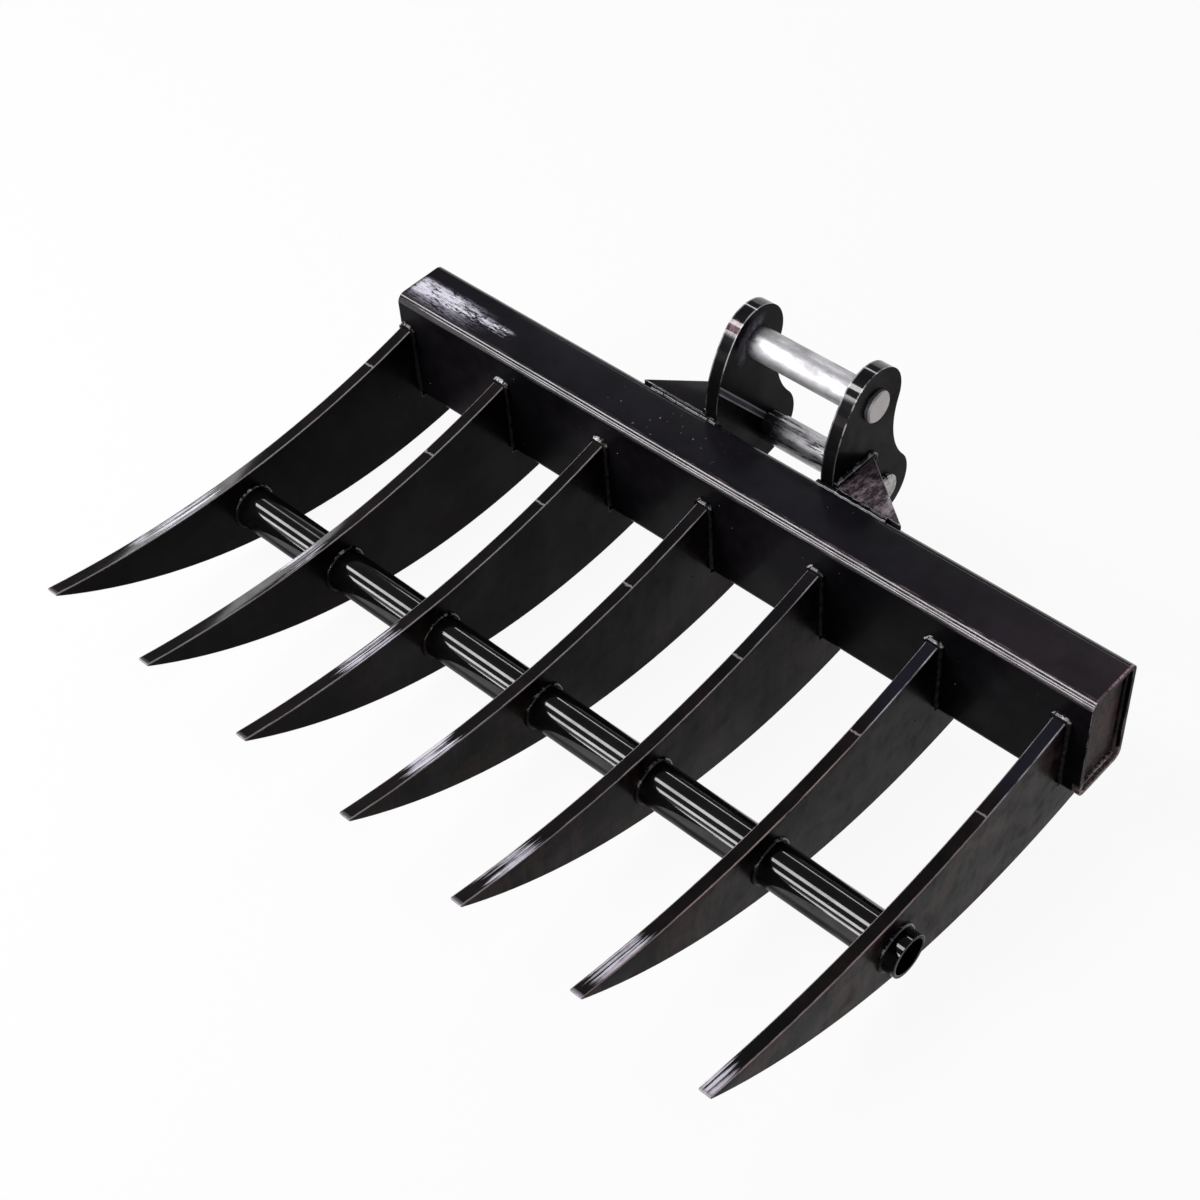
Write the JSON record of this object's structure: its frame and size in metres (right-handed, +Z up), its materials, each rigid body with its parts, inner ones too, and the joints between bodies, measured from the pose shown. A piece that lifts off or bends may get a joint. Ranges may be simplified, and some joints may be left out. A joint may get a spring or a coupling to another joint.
{
  "type": "mini excavator rake",
  "caption": "Pin-on root and soil rake for a mini excavator: curved plate tines on a box beam, a cross tube through them and a two-pin hitch behind.",
  "frame": {"origin": "on the ground under the middle of the part's bounding box", "axes": "+X along the beam towards its right end as seen from behind the hitch with the tines pointing away, +Y back from the tine tips to the hitch, +Z up, with the rake standing on its tine soles"},
  "size_m": [1.029, 0.7872, 0.3419],
  "materials": {
    "gloss_black_paint": "gloss black paint with light orange peel and dust",
    "painted_weld": "gloss black paint over rippled weld bead",
    "bare_pin_steel": "turned bare steel with black overspray at the ends",
    "zinc_plate": "dull zinc plate"
  },
  "bodies": {
    "rake": {"beam_tube": "gloss_black_paint", "end_cap_left": "gloss_black_paint", "end_cap_right": "gloss_black_paint", "tine_1": "gloss_black_paint", "tine_2": "gloss_black_paint", "tine_3": "gloss_black_paint", "tine_4": "gloss_black_paint", "tine_5": "gloss_black_paint", "tine_6": "gloss_black_paint", "tine_7": "gloss_black_paint", "cross_tube": "gloss_black_paint", "ear_left": "gloss_black_paint", "ear_right": "gloss_black_paint", "gusset_left": "gloss_black_paint", "gusset_right": "gloss_black_paint", "tine_root_welds": "painted_weld", "cross_tube_welds": "painted_weld", "hitch_welds": "painted_weld", "end_cap_welds": "painted_weld"},
    "upper_pin_set": {"upper_pin": "bare_pin_steel", "upper_pin_flag": "gloss_black_paint", "upper_pin_bolt": "zinc_plate", "upper_pin_washer": "zinc_plate", "upper_flag_weld": "painted_weld"},
    "lower_pin_set": {"lower_pin": "bare_pin_steel", "lower_pin_flag": "gloss_black_paint", "lower_pin_bolt": "zinc_plate", "lower_pin_washer": "zinc_plate", "lower_flag_weld": "painted_weld"}
  },
  "joints": [
    {"name": "upper_pin_slide", "type": "slide", "parent": "rake", "child": "upper_pin_set", "axis": [-1, 0, 0], "range_m": [0, 0.36]},
    {"name": "lower_pin_slide", "type": "slide", "parent": "rake", "child": "lower_pin_set", "axis": [-1, 0, 0], "range_m": [0, 0.36]}
  ]
}
